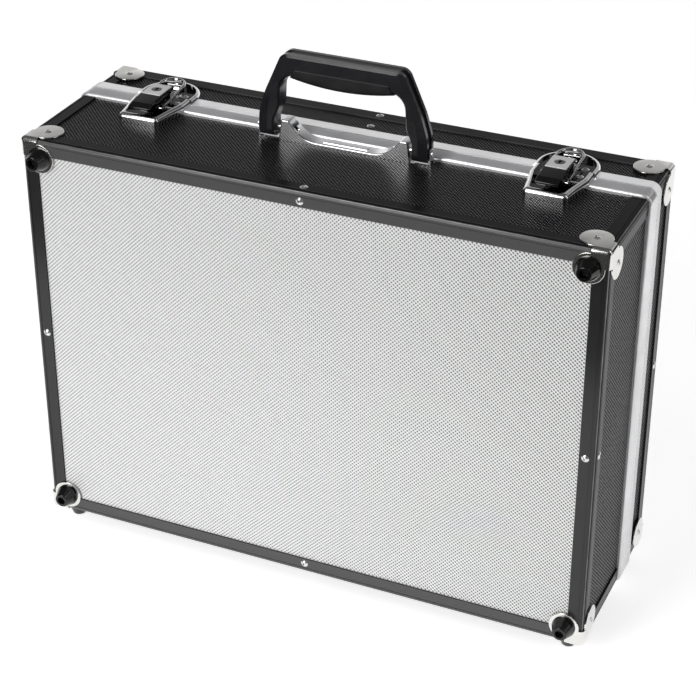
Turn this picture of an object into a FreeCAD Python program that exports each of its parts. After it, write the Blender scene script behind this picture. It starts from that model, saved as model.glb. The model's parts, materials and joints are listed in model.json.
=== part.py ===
"""Aluminium tool case, standing on its hinge side, latches and handle on top.

Millimetres. X runs along the case's width, Y from the front panel (the floor of the
tray) to the back panel (the lid), Z up. While it is being modelled, the case's body
has its left and right faces at -/+ half the width, its front face at y = 0 and its
underside at z = 0. Everything is moved at the end, so that the origin lies in the
middle of the whole object's footprint, on the surface that the feet stand on.
"""
import FreeCAD, Part
import math
import os

V = FreeCAD.Vector

# Case body
case_width = 455.0
case_height = 330.0
case_depth = 152.0
lid_depth = 51.5           # the rest of the depth is the tray
split_gap = 0.2            # left between the closed tray and lid
hole_clearance = 0.05      # round the shanks of rivets and screws

# Wall panels and the edge profiles that hold them
panel_thickness = 3.5
profile_thickness = 1.2
profile_leg = 12.5
profile_edge_radius = 3.0
profile_groove_inset = 3.6
profile_groove_width = 0.8
profile_groove_depth = 0.35

# Silver closing frames, one on the tray and one on the lid
frame_width = 13.0
frame_proud = 2.4
frame_corner_radius = 8.0
frame_edge_radius = 2.2
frame_web = 3.4
frame_inner_flange = 1.2
frame_inner_flange_width = 9.5
frame_valley_width = 4.0
frame_valley_depth = 0.7
tongue_height = 1.8
tongue_width = 1.2
tongue_inset = 1.4         # from the case's outer face to the tongue
groove_clearance = 0.4
groove_depth = 2.4

# Foam lining
lining_thickness = 3.0
lining_frame_gap = 3.5

# Corner caps
cap_thickness = 1.2
cap_reach = 13.5           # how far a cap runs along each edge from the corner
cap_lobe_radius = 11.7
cap_lobe_centre = 14.7     # from both neighbouring faces
cap_corner_radius = 3.8
cap_rim_radius = 0.5

# Blind rivets
rivet_head_radius = 2.9
rivet_head_height = 1.1
rivet_mouth_radius = 1.3
rivet_mouth_depth = 1.0
rivet_shank_radius = 1.6
rivet_tail_radius = 2.6
rivet_tail_height = 0.9
rivet_tail_room = 0.4       # round the tail, in the lining
edge_rivet_inset = 7.8
lid_stud_inset = 26.0      # the extra rivet on the lid's top, from the back face

# Feet
foot_length = 10.3
foot_base_radius = 9.0
foot_tip_radius = 5.4
foot_collar = 1.0
foot_recess_radius = 3.3
foot_recess_depth = 5.5
foot_tip_round = 0.9
screw_head_radius = 2.9
screw_head_height = 1.8
screw_shank_radius = 1.7
screw_nut_radius = 3.4
screw_nut_height = 2.0
screw_slot_width = 0.8
screw_slot_depth = 0.9

# Hinges on the underside
hinge_inset = 77.5         # from the case's side to the middle of a hinge
hinge_length = 60.0
hinge_leaf_thickness = 1.2
hinge_leaf_width = 11.6
hinge_knuckle_radius = 3.0
hinge_knuckle_gap = 0.3
hinge_knuckles = 5
hinge_side_clearance = 0.2
hinge_pin_radius = 1.3
hinge_pin_clearance = 0.05
hinge_rivet_spacing = 40.0
hinge_leaf_corner = 2.5

# Handle and the saddle that carries it
handle_setback = 21.5      # from the split to the middle of the handle
handle_thickness = 15.0
handle_height = 68.8       # grip's top above the case's top face
pivot_height = 8.6         # pivot axis above the case's top face
leg_inner_x = 54.7
leg_outer_x = 66.8
leg_straight_height = 20.0
leg_shoulder_x = 61.9
leg_shoulder_height = 36.5
grip_corner_x = 47.6
grip_corner_radius = 8.0
knee_height = 16.5
knee_inner_x = 50.2
knee_inner_height = 26.0
grip_half_length = 48.8
grip_underside = 52.8
grip_throat_radius = 13.0
bevel_depth = 1.5          # of the bevels round the handle's flat faces
bevel_leg_width = 7.2
bevel_shoulder_width = 5.2
bevel_corner_width = 4.2
bevel_crown_width = 2.2
bevel_corner_radius = 2.5
bevel_inner_width = 1.2
handle_groove_width = 5.6
handle_groove_depth = 1.5
pad_top_half_length = 36.5
pad_half_length = 41.0
pad_top = 57.4
pad_end_height = 50.8
pad_sag = 4.4
pad_proud = 0.9
pad_belly_radius = 3.2
saddle_front_setback = 24.9  # from the split
saddle_back_setback = 13.5
saddle_foot_x = 52.5
saddle_top_x = 50.3
saddle_height = 15.0
saddle_shoulder_x = 44.0
saddle_floor_x = 33.0      # where the scoop's floor meets its slopes
saddle_floor_height = 1.2
saddle_scoop_radius = 24.0
saddle_shoulder_radius = 3.0
saddle_tip_radius = 1.5
saddle_wall = 1.3
saddle_screw_inset = 4.3   # from the saddle's foot, into its solid end
saddle_screw_reach = 5.5
bead_length = 35.0
bead_width = 5.0
bead_height = 0.8
ear_plate_thickness = 1.0
ear_plate_overlap = 7.0    # how far the ear's plate runs into the saddle
ear_plate_gap = 0.5        # from the plate to the closing frame
ear_thickness = 1.2
ear_width = 6.6
ear_crown = 12.9           # above the case's top face
ear_gap = 0.5
pivot_pin_radius = 2.0
pin_clearance = 0.05
pivot_pin_head = 0.8
pivot_pin_bite = 6.5       # how far the pin runs into the saddle's end

# Draw latches: across is x from the latch's middle, up is from the case's top face,
# and a setback is measured from the split towards the front
latch_inset = 66.5         # from the case's side to the middle of a latch
latch_reach = 43.5         # from the split to the front of the base
latch_wall_height = 6.0
latch_nose_half_width = 16.5
latch_neck_half_width = 18.7
latch_body_half_width = 22.4
latch_nose_radius = 3.6
latch_taper_start = 14.5   # from the front of the base
latch_taper_end = 31.5
latch_neck_radius = 12.0
latch_shoulder_radius = 8.0
latch_rim_round = 3.2      # outside, on the base
latch_rim_width = 3.7
strike_rim_round = 2.6
latch_rim_flat = 0.5       # left on top of the strike's rim
latch_floor_thickness = 1.3
latch_rivet_across = 13.2
latch_rivet_setback = 5.6
strike_rivet_setback = 7.4
nose_rivet_across = 7.6
nose_rivet_inset = 7.6     # from the front of the base
strike_radius = 23.6
strike_arc_centre = 7.6    # behind the split
strike_wall_height = 5.6
lever_half_width = 7.0
lever_pin_radius = 1.2
lever_pivot_setback = 4.0
lever_pivot_up = 8.5
lever_tip_setback = 41.8
lever_tip_up = 12.2
lever_cover_thickness = 2.4
lever_cover_half_width = 8.5
lever_bevel_setback = 35.6
lever_bevel_up = 13.7
lever_top_setback = 22.4
lever_top_up = 15.0
lever_rear_overhang = 3.0
lever_side_round = 0.5
lever_seat_slope = 1.4     # from the boss round the bail's pin up to the underside
lug_gap = 0.2
lug_thickness = 1.2
lug_half_width = 3.2
bail_inner_half_width = 8.7
bail_strap = 2.0
bail_depth = 2.4
bail_setback = 22.5        # of the bail's pivot
bail_pivot_up = 6.0
bail_seat_half_width = 3.4  # of the lever's boss round the bail's pin
bail_reach = 45.3          # from its pivot to the outside of the arch
bail_rise = 6.3            # degrees up towards the arch
bail_eye_radius = 2.7
bail_pin_radius = 1.2
bail_round = 0.7
hook_half_width = 6.0
hook_clearance = 0.35      # between the hook's top and the arch above it
hook_back_gap = 0.9        # between the hook and the inside of the arch
hook_thickness = 4.0
hook_wall = 1.4
key_plate_length = 19.4
key_plate_margin = 0.6     # left on the lever beside the key plate
key_plate_rim = 0.6
lock_radius = 4.0
lock_clearance = 0.08
keyway_width = 1.4
keyway_length = 5.2
keyway_depth = 5.0
cam_length = 10.0
cam_width = 3.4
cam_thickness = 0.9
cam_drop = 0.1

# Worked out from the sizes above
half_width = case_width / 2
split_y = case_depth - lid_depth
panel_inset = profile_thickness
wall_inner = profile_thickness + panel_thickness
tray_edge_y = split_y - split_gap / 2
lid_edge_y = split_y + split_gap / 2
tray_frame_y = tray_edge_y - frame_width
lid_frame_y = lid_edge_y + frame_width
tray_web_y = tray_edge_y - frame_web
lid_web_y = lid_edge_y + frame_web
top = case_height
panel_top = case_height - profile_thickness
frame_top = case_height + frame_proud
stand_height = cap_thickness + foot_length
front_reach = cap_thickness + foot_length
back_reach = case_depth + cap_thickness + rivet_head_height
middle_y = (back_reach - front_reach) / 2
hinge_offset_x = half_width - hinge_inset
hinge_axis_z = -frame_proud - hinge_knuckle_gap - hinge_knuckle_radius
handle_y = split_y - handle_setback
saddle_front_y = split_y - saddle_front_setback
saddle_back_y = split_y - saddle_back_setback
latch_offset_x = half_width - latch_inset
latch_front_y = split_y - latch_reach
lever_pivot_y = split_y - lever_pivot_setback
lever_tip_y = split_y - lever_tip_setback
lever_bevel_y = split_y - lever_bevel_setback
lever_top_y = split_y - lever_top_setback
bail_pivot_y = split_y - bail_setback
through = 2 * case_width   # long enough for any bore or cut to pass right through


def box(x0, x1, y0, y1, z0, z1):
    """Box between the given planes."""
    return Part.makeBox(x1 - x0, y1 - y0, z1 - z0, V(x0, y0, z0))


def rod(start, end, radius):
    """Round bar from one point to another."""
    return Part.makeCylinder(radius, (end - start).Length, start, end - start)


def plane_xz(y):
    """Turns (a, b) into a point of the upright plane across the case at y."""
    return lambda a, b: V(a, y, b)


def plane_xy(z):
    """Turns (a, b) into a point of the level plane at z."""
    return lambda a, b: V(a, b, z)


def plane_yz(x):
    """Turns (a, b) into a point of the upright plane along the depth at x."""
    return lambda a, b: V(x, a, b)


def outline(corners, place):
    """Closed face through corners (a, b) or (a, b, radius), rounded where a radius is given."""
    flat = [(c[0], c[1], c[2] if len(c) > 2 else 0.0) for c in corners]
    edges = []
    cursor = None
    first = None
    for i, (a, b, radius) in enumerate(flat):
        before = V(*flat[i - 1][:2], 0)
        after = V(*flat[(i + 1) % len(flat)][:2], 0)
        here = V(a, b, 0)
        to_before = (before - here).normalize()
        to_after = (after - here).normalize()
        if radius > 0:
            half = to_before.getAngle(to_after) / 2
            run = radius / math.tan(half)
            middle = (to_before + to_after).normalize()
            centre = here + middle * (radius / math.sin(half))
            start = here + to_before * run
            end = here + to_after * run
            crown = centre - middle * radius
        else:
            start = end = crown = here
        if cursor is not None and (start - cursor).Length > 1e-6:
            edges.append(Part.LineSegment(place(cursor.x, cursor.y), place(start.x, start.y)).toShape())
        if radius > 0:
            arc = Part.Arc(place(start.x, start.y), place(crown.x, crown.y), place(end.x, end.y))
            edges.append(arc.toShape())
        if first is None:
            first = start
        cursor = end
    if (first - cursor).Length > 1e-6:
        edges.append(Part.LineSegment(place(cursor.x, cursor.y), place(first.x, first.y)).toShape())
    return Part.Face(Part.Wire(edges))


def prism(corners, place, along):
    """Solid drawn out from an outline by a vector."""
    return outline(corners, place).extrude(along)


def rounded_block(x, z0, z1, y0, y1, radius):
    """Block symmetric about x = 0 with rounded corners in the XZ plane."""
    corners = [(-x, z0, radius), (x, z0, radius), (x, z1, radius), (-x, z1, radius)]
    return prism(corners, plane_xz(y0), V(0, y1 - y0, 0))


def loop_block(inset, y0, y1, radius=0.0):
    """Block that fills the case's outline, drawn in by an inset (negative for outwards)."""
    return rounded_block(half_width - inset, inset, case_height - inset, y0, y1, radius)


def turned(profile, base, along):
    """Solid of revolution from (radius, height) corners, stood on base along a direction."""
    shape = outline(profile, plane_xz(0)).revolve(V(0, 0, 0), V(0, 0, 1), 360)
    shape.Placement = FreeCAD.Placement(base, FreeCAD.Rotation(V(0, 0, 1), along))
    return shape


def mirror_x(shape):
    """A shape on the other side, left for right."""
    return shape.mirror(V(0, 0, 0), V(1, 0, 0))


def mirror_z(shape):
    """A shape upside down, about the middle of the case's height."""
    return shape.mirror(V(0, 0, case_height / 2), V(0, 0, 1))


def mirror_y(shape):
    """A shape turned front to back, about the middle of the case's depth."""
    return shape.mirror(V(0, case_depth / 2, 0), V(0, 1, 0))


def round_edges(shape, radius, chosen):
    """Round those edges of a solid that a test picks."""
    return shape.makeFillet(radius, [edge for edge in shape.Edges if chosen(edge)])


def at_y(edge, y):
    """Whether an edge lies in the plane of the given y."""
    return abs(edge.BoundBox.YMin - y) < 1e-4 and abs(edge.BoundBox.YMax - y) < 1e-4


def across_y(edge):
    """Whether an edge lies in one plane square to the case's depth."""
    return edge.BoundBox.YLength < 1e-4


def at_z(edge, z):
    """Whether an edge lies in the plane of the given z."""
    return abs(edge.BoundBox.ZMin - z) < 1e-4 and abs(edge.BoundBox.ZMax - z) < 1e-4


# Rivets: each place is a point on the outer surface, the outward direction and the grip

def rivet(place):
    """Blind rivet with a domed head that has a round mouth, and an upset tail inside."""
    point, out, grip = place
    rise = rivet_head_height
    rim = rivet_head_radius
    sphere_radius = (rim * rim + rise * rise) / (2 * rise)
    dome = Part.makeSphere(sphere_radius, V(0, 0, rise - sphere_radius))
    head = dome.common(Part.makeCylinder(rim + 1, rise + 1))
    shank = Part.makeCylinder(rivet_shank_radius, grip, V(0, 0, -grip))
    tail = Part.makeCylinder(rivet_tail_radius, rivet_tail_height, V(0, 0, -grip - rivet_tail_height))
    mouth = Part.makeCylinder(rivet_mouth_radius, rise, V(0, 0, rise - rivet_mouth_depth))
    shape = head.fuse([shank, tail]).cut(mouth)
    shape.Placement = FreeCAD.Placement(point, FreeCAD.Rotation(V(0, 0, 1), out))
    return shape


def tail_pocket(place):
    """Room in the lining for the rivet's tail."""
    point, out, grip = place
    radius = rivet_tail_radius + rivet_tail_room
    return Part.makeCylinder(radius, lining_thickness + 1, point - out * grip, out * -1)


def face_places(inset_from_edge, lift, grip, sides):
    """Rivet places halfway along the edges, on the faces that are named."""
    near = inset_from_edge
    middle_z = case_height / 2
    places = {
        "top": (V(0, near, top + lift), V(0, 0, 1), grip),
        "underside": (V(0, near, -lift), V(0, 0, -1), grip),
        "left": (V(-half_width - lift, near, middle_z), V(-1, 0, 0), grip),
        "right": (V(half_width + lift, near, middle_z), V(1, 0, 0), grip),
        "front_top": (V(0, -lift, top - near), V(0, -1, 0), grip),
        "front_underside": (V(0, -lift, near), V(0, -1, 0), grip),
        "front_left": (V(-half_width + near, -lift, middle_z), V(0, -1, 0), grip),
        "front_right": (V(half_width - near, -lift, middle_z), V(0, -1, 0), grip),
    }
    return [places[side] for side in sides]


def to_lid(place):
    """The same rivet place on the lid, across the middle of the depth."""
    point, out, grip = place
    return V(point.x, case_depth - point.y, point.z), V(out.x, -out.y, out.z), grip


side_names = ["top", "underside", "left", "right"]
front_names = ["front_" + name for name in side_names]
edge_grip = profile_thickness + panel_thickness
cap_grip = cap_thickness + profile_thickness + panel_thickness
tray_edge_rivets = face_places(edge_rivet_inset, 0, edge_grip, side_names + front_names)
lid_edge_rivets = [to_lid(place) for place in tray_edge_rivets]
lid_stud = (V(0, case_depth - lid_stud_inset, panel_top), V(0, 0, 1), panel_thickness)


def cap_places():
    """Rivet and foot places on the tray's four caps: (side face, front face, top or underside)."""
    flat = cap_lobe_centre
    for sign in (-1, 1):
        for high in (True, False):
            z = top - flat if high else flat
            x = sign * (half_width - flat)
            side = (V(sign * (half_width + cap_thickness), flat, z), V(sign, 0, 0), cap_grip)
            front = (V(x, -cap_thickness, z), V(0, -1, 0), cap_grip)
            if high:
                end = (V(x, flat, top + cap_thickness), V(0, 0, 1), cap_grip)
            else:
                end = (V(x, flat, -cap_thickness), V(0, 0, -1), cap_grip)
            yield high, side, front, end


tray_cap_rivets = []
tray_foot_places = []
tray_stand_places = []
lid_cap_rivets = []
lid_stand_places = []
for cap_is_high, cap_side, cap_front, cap_end in cap_places():
    tray_cap_rivets.append(cap_side)
    tray_foot_places.append(cap_front)
    lid_cap_rivets += [to_lid(cap_side), to_lid(cap_front)]
    if cap_is_high:
        tray_cap_rivets.append(cap_end)
        lid_cap_rivets.append(to_lid(cap_end))
    else:
        tray_stand_places.append(cap_end)
        lid_stand_places.append(to_lid(cap_end))
tray_rivet_places = tray_edge_rivets + tray_cap_rivets
lid_rivet_places = lid_edge_rivets + lid_cap_rivets + [lid_stud]


def drilled(shape, places, radius=rivet_shank_radius):
    """A solid with the holes of the rivets or screws that pass through it."""
    for point, out, grip in places:
        hole = Part.makeCylinder(radius + hole_clearance, grip + 2, point + out, out * -1)
        if hole.BoundBox.intersect(shape.BoundBox):
            shape = shape.cut(hole)
    return shape


def drilled_tray(shape):
    """A piece of the tray with the holes of its rivets and of its feet's screws."""
    shape = drilled(shape, tray_rivet_places)
    return drilled(shape, tray_foot_places + tray_stand_places, screw_shank_radius)


def drilled_lid(shape):
    """A piece of the lid with the holes of its rivets and of its feet's screws."""
    shape = drilled(shape, lid_rivet_places)
    return drilled(shape, lid_stand_places, screw_shank_radius)


# Wall panels

def front_panel():
    """Board that closes the tray's front, under the edge profiles."""
    return box(-half_width + panel_inset, half_width - panel_inset, panel_inset, wall_inner,
               panel_inset, case_height - panel_inset)


def tray_walls():
    """The tray's four side walls, each a flat board whose edge sits in the closing frame."""
    outer = half_width - panel_inset
    inner = half_width - wall_inner
    high = case_height - panel_inset
    low = panel_inset
    top_wall = box(-outer, outer, wall_inner, tray_web_y, case_height - wall_inner, high)
    side_wall = box(inner, outer, wall_inner, tray_web_y, wall_inner, case_height - wall_inner)
    return {
        "wall_top": top_wall,
        "wall_hinge_side": box(-outer, outer, wall_inner, tray_web_y, low, wall_inner),
        "wall_right": side_wall,
        "wall_left": mirror_x(side_wall),
    }


def lid_walls():
    """The lid's four side walls."""
    outer = half_width - panel_inset
    inner = half_width - wall_inner
    back = case_depth - wall_inner
    side_wall = box(inner, outer, lid_web_y, back, wall_inner, case_height - wall_inner)
    return {
        "wall_top": box(-outer, outer, lid_web_y, back, case_height - wall_inner, case_height - panel_inset),
        "wall_hinge_side": box(-outer, outer, lid_web_y, back, panel_inset, wall_inner),
        "wall_right": side_wall,
        "wall_left": mirror_x(side_wall),
    }


# Edge profiles

def case_block():
    """The case's outer form with all its edges rounded."""
    block = loop_block(0, 0, case_depth)
    return block.makeFillet(profile_edge_radius, block.Edges)


def profile_skin(block):
    """Thin skin that all the edge profiles are cut from."""
    inside = loop_block(profile_thickness, profile_thickness, case_depth - profile_thickness)
    return block.cut(inside)


def groove_cut():
    """Shallow line that runs along every edge profile, a little in from the edge."""
    near = profile_groove_inset
    far = near + profile_groove_width
    deep = profile_groove_depth
    ring = loop_block(-1, near, far).cut(loop_block(deep, near - 1, far + 1))
    frame = loop_block(near, -1, deep).cut(loop_block(far, -2, deep + 1))
    cuts = [ring, frame]
    along_top = box(half_width - far, half_width - near, far, split_y, case_height - deep, case_height + 1)
    along_side = box(half_width - deep, half_width + 1, far, split_y, case_height - far, case_height - near)
    return cuts + four_corners(along_top) + four_corners(along_side)


def edge_profiles(skin):
    """Front perimeter profiles, mitred at the corners, and the four that run back from them."""
    leg = profile_leg
    ring = skin.common(box(-half_width, half_width, 0, leg, 0, case_height))
    ring = ring.cut(loop_block(leg, -1, leg + 1))
    ring = ring.cut(groove_cut())
    beyond = 2 * leg
    far_x = half_width + beyond
    high = case_height + beyond
    in_x = half_width - 2 * beyond
    in_z = case_height - 2 * beyond
    wedge = [(-far_x, high), (far_x, high), (in_x, in_z), (-in_x, in_z)]
    side = [(far_x, high), (in_x, in_z), (in_x, 2 * beyond), (far_x, -beyond)]
    top_part = prism(wedge, plane_xz(-1), V(0, leg + 2, 0))
    right_part = prism(side, plane_xz(-1), V(0, leg + 2, 0))
    long_top = ring.common(top_part)
    long_right = ring.common(right_part)
    corner = skin.common(box(half_width - leg, half_width, leg, tray_frame_y,
                             case_height - leg, case_height))
    corner = corner.cut(groove_cut())
    return {
        "edge_top": long_top,
        "edge_hinge_side": mirror_z(long_top),
        "edge_right": long_right,
        "edge_left": mirror_x(long_right),
        "corner": corner,
    }


def four_corners(shape):
    """A shape at the upper right, and its three mirror images."""
    return [shape, mirror_x(shape), mirror_z(shape), mirror_x(mirror_z(shape))]


# Closing frames

def closing_frame():
    """Tray half of the frame: a channel over the wall's edge, proud of the case's faces."""
    y0 = tray_frame_y
    y1 = tray_edge_y
    outer = loop_block(-frame_proud, y0, y1, frame_corner_radius)
    outer = round_edges(outer, frame_edge_radius, lambda edge: at_y(edge, y0))
    valley_edges = [edge for edge in outer.Edges if at_y(edge, y1)]
    outer = outer.makeChamfer(frame_valley_depth, valley_edges)
    inside = loop_block(wall_inner + frame_inner_flange, y0 - 1, y1 + 1)
    slot = loop_ring(profile_thickness, panel_thickness, y0 - 1, tray_web_y)
    behind = loop_block(wall_inner, y0 - 1, y1 - frame_inner_flange_width)
    return outer.cut([inside, slot, behind])


def loop_ring(inset, width, y0, y1):
    """Rectangular ring that follows the case's outline."""
    return loop_block(inset, y0, y1).cut(loop_block(inset + width, y0 - 1, y1 + 1))


def tray_frame():
    """Tray half with the groove that takes the lid's tongue."""
    groove = loop_ring(tongue_inset - groove_clearance, tongue_width + 2 * groove_clearance,
                       tray_edge_y - groove_depth, tray_edge_y + 1)
    return closing_frame().cut(groove)


def lid_frame():
    """Lid half, the tray half turned round, with a tongue along its mating face."""
    half = closing_frame().mirror(V(0, split_y, 0), V(0, 1, 0))
    tongue = loop_ring(tongue_inset, tongue_width, tray_edge_y - tongue_height, lid_edge_y + 0.5)
    return half.fuse(tongue)


# Linings

def lining(y_floor, y_rim):
    """Foam tray lining: a floor sheet and four side sheets as one open box."""
    outside = loop_block(wall_inner, y_floor, y_rim)
    inside = loop_block(wall_inner + lining_thickness, y_floor + lining_thickness, y_rim + 1)
    return outside.cut(inside)


def tray_lining():
    """The tray's lining, with room for every rivet tail and nut."""
    shape = lining(wall_inner, tray_edge_y - frame_inner_flange_width - lining_frame_gap)
    for place in tray_rivet_places + latch_rivet_places(-1) + latch_rivet_places(1):
        shape = shape.cut(tail_pocket(place))
    return cut_nut_pockets(shape, tray_foot_places + tray_stand_places)


def lid_lining():
    """The lid's lining, with room for every rivet tail and nut."""
    depth = case_depth - lid_edge_y - frame_inner_flange_width - lining_frame_gap
    shape = mirror_y(lining(wall_inner, depth))
    for place in lid_rivet_places:
        shape = shape.cut(tail_pocket(place))
    return cut_nut_pockets(shape, lid_stand_places)


def cut_nut_pockets(shape, places):
    """Room in the lining for the nuts of the feet's screws."""
    for point, out, grip in places:
        start = point - out * grip
        shape = shape.cut(Part.makeCylinder(screw_nut_radius + 0.4, lining_thickness + 1, start, out * -1))
    return shape


# Corner caps

def corner_cap(block):
    """Pressed cap of the upper right corner of the front: three round lobes and a corner."""
    t = cap_thickness
    s = cap_reach
    x1 = half_width + t
    z1 = case_height + t
    cube = box(half_width - s, x1, -t, s, case_height - s, z1)
    outer = [edge for edge in cube.Edges if corner_edge(edge, x1, -t, z1)]
    cube = cube.makeFillet(cap_corner_radius, outer)
    lobe = Part.makeCylinder(cap_lobe_radius, t)
    rim = [edge for edge in lobe.Edges if at_z(edge, t)]
    lobe = lobe.makeFillet(cap_rim_radius, rim)
    shape = cube
    flat = cap_lobe_centre
    bases = ((V(half_width, flat, case_height - flat), V(1, 0, 0)),
             (V(half_width - flat, 0, case_height - flat), V(0, -1, 0)),
             (V(half_width - flat, flat, case_height), V(0, 0, 1)))
    for base, out in bases:
        plate = lobe.copy()
        plate.Placement = FreeCAD.Placement(base, FreeCAD.Rotation(V(0, 0, 1), out))
        shape = shape.fuse(plate)
    return shape.cut(block)


def corner_edge(edge, x, y, z):
    """Whether an edge lies on two of the three outer planes of a corner."""
    bounds = edge.BoundBox
    on_x = bounds.XMin > x - 1e-4
    on_y = bounds.YMax < y + 1e-4
    on_z = bounds.ZMin > z - 1e-4
    return on_x + on_y + on_z >= 2


# Feet

def foot(place):
    """Tapered rubber foot with a deep recess for its screw."""
    point, out, grip = place
    length = foot_length
    floor = length - foot_recess_depth
    profile = [
        (screw_shank_radius, 0),
        (foot_base_radius, 0),
        (foot_base_radius, foot_collar),
        (foot_tip_radius, length, foot_tip_round),
        (foot_recess_radius, length),
        (foot_recess_radius, floor),
        (screw_shank_radius, floor),
    ]
    return turned(profile, point, out)


def foot_screw(place):
    """Screw from the foot's recess through cap and panel, with its nut inside."""
    point, out, grip = place
    seat = foot_length - foot_recess_depth
    head = Part.makeCylinder(screw_head_radius, screw_head_height, V(0, 0, seat))
    head = round_edges(head, 0.7, lambda edge: at_z(edge, seat + screw_head_height))
    shank = Part.makeCylinder(screw_shank_radius, seat + grip + screw_nut_height,
                              V(0, 0, -grip - screw_nut_height))
    nut = Part.makeCylinder(screw_nut_radius, screw_nut_height, V(0, 0, -grip - screw_nut_height))
    reach = screw_head_radius + 1
    half = screw_slot_width / 2
    head_top = seat + screw_head_height
    slot_floor = head_top - screw_slot_depth
    slot = box(-reach, reach, -half, half, slot_floor, head_top + 1)
    cross = box(-half, half, -reach, reach, slot_floor, head_top + 1)
    shape = head.fuse([shank, nut]).cut([slot, cross])
    shape.Placement = FreeCAD.Placement(point, FreeCAD.Rotation(V(0, 0, 1), out))
    return shape


# Hinges

def hinge_rivet_places(sign):
    """Rivets of one leaf row: sign -1 for the tray's leaves, 1 for the lid's."""
    y = split_y + sign * (hinge_knuckle_radius + hinge_side_clearance + 0.55 * hinge_leaf_width)
    places = []
    for side in (-1, 1):
        for end in (-1, 1):
            x = side * hinge_offset_x + end * hinge_rivet_spacing / 2
            point = V(x, y, -frame_proud - hinge_leaf_thickness)
            grip = hinge_leaf_thickness + frame_proud + wall_inner + frame_inner_flange
            places.append((point, V(0, 0, -1), grip))
    return places


def hinge_leaf(sign, owns):
    """One leaf with its share of the knuckles; sign -1 lies under the tray, 1 under the lid."""
    z_top = -frame_proud
    z_low = z_top - hinge_leaf_thickness
    near = hinge_knuckle_radius + hinge_side_clearance
    y_near = split_y + sign * near
    y_far = split_y + sign * (near + hinge_leaf_width)
    x0 = hinge_offset_x - hinge_length / 2
    x1 = hinge_offset_x + hinge_length / 2
    low_y = min(y_near, y_far)
    high_y = max(y_near, y_far)
    leaf = box(x0, x1, low_y, high_y, z_low, z_top)
    far_corners = [edge for edge in leaf.Edges if upright_at_y(edge, y_far)]
    leaf = leaf.makeFillet(hinge_leaf_corner, far_corners)
    step = hinge_length / hinge_knuckles
    for k in range(hinge_knuckles):
        if (k % 2 == 0) != owns:
            continue
        a = x0 + k * step + (hinge_side_clearance / 2 if k > 0 else 0)
        b = x0 + (k + 1) * step - (hinge_side_clearance / 2 if k < hinge_knuckles - 1 else 0)
        barrel = rod(V(a, split_y, hinge_axis_z), V(b, split_y, hinge_axis_z), hinge_knuckle_radius)
        reach = [(split_y, z_low - 0.1), (split_y, hinge_axis_z + hinge_knuckle_radius), (y_near, z_top),
                 (y_near + sign * 1.0, z_top), (y_near + sign * 1.0, z_low), (y_near, z_low - 0.8)]
        arm = prism(reach, plane_yz(a), V(b - a, 0, 0))
        leaf = leaf.fuse([barrel, arm])
    bore_start = V(x0 - 1, split_y, hinge_axis_z)
    bore_end = V(x1 + 1, split_y, hinge_axis_z)
    clearance = 0.0 if owns else hinge_pin_clearance
    return leaf.cut(rod(bore_start, bore_end, hinge_pin_radius + clearance))


def upright_at_y(edge, y):
    """Whether an edge stands upright in the plane of the given y."""
    bounds = edge.BoundBox
    return at_y(edge, y) and bounds.ZLength > 0.5 and bounds.XLength < 1e-4


def hinge_pin():
    """Pin through all the knuckles of one hinge."""
    x0 = hinge_offset_x - hinge_length / 2
    return rod(V(x0, split_y, hinge_axis_z), V(x0 + hinge_length, split_y, hinge_axis_z), hinge_pin_radius)


# Handle

def handle_outer(inset=0.0):
    """Half of the handle's outer line, from its foot to the middle of its top."""
    return [
        (leg_outer_x - inset, 0),
        (leg_outer_x - inset, leg_straight_height, 40.0),
        (leg_shoulder_x - inset, leg_shoulder_height, 60.0),
        (grip_corner_x - inset, handle_height - inset, grip_corner_radius - inset / 2),
    ]


def handle_face_outer():
    """Half of the outer line of the handle's flat face, inside its bevel."""
    return [
        (leg_outer_x - bevel_leg_width, 0),
        (leg_outer_x - bevel_leg_width, leg_straight_height, 40.0),
        (leg_shoulder_x - bevel_shoulder_width, leg_shoulder_height, 60.0),
        (grip_corner_x - bevel_corner_width, handle_height - bevel_crown_width, bevel_corner_radius),
    ]


def handle_inner(inset=0.0):
    """Half of the opening's line, from the foot to the middle of the grip's underside."""
    return [
        (leg_inner_x + inset, 0),
        (leg_inner_x + inset, knee_height, 8.0),
        (knee_inner_x + inset, knee_inner_height, 12.0),
        (grip_half_length + inset, grip_underside + inset, grip_throat_radius),
    ]


def shifted(corners, sign):
    """Corners moved to the case's top and, for sign -1, to the left side."""
    return [(sign * c[0], top + c[1]) + tuple(c[2:]) for c in corners]


def bow_line(outer, inner):
    """Whole closed line of the bow from the half lines of its outside and its opening."""
    return (shifted(outer, 1) + shifted(outer, -1)[::-1]
            + shifted(inner, -1) + shifted(inner, 1)[::-1])


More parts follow.
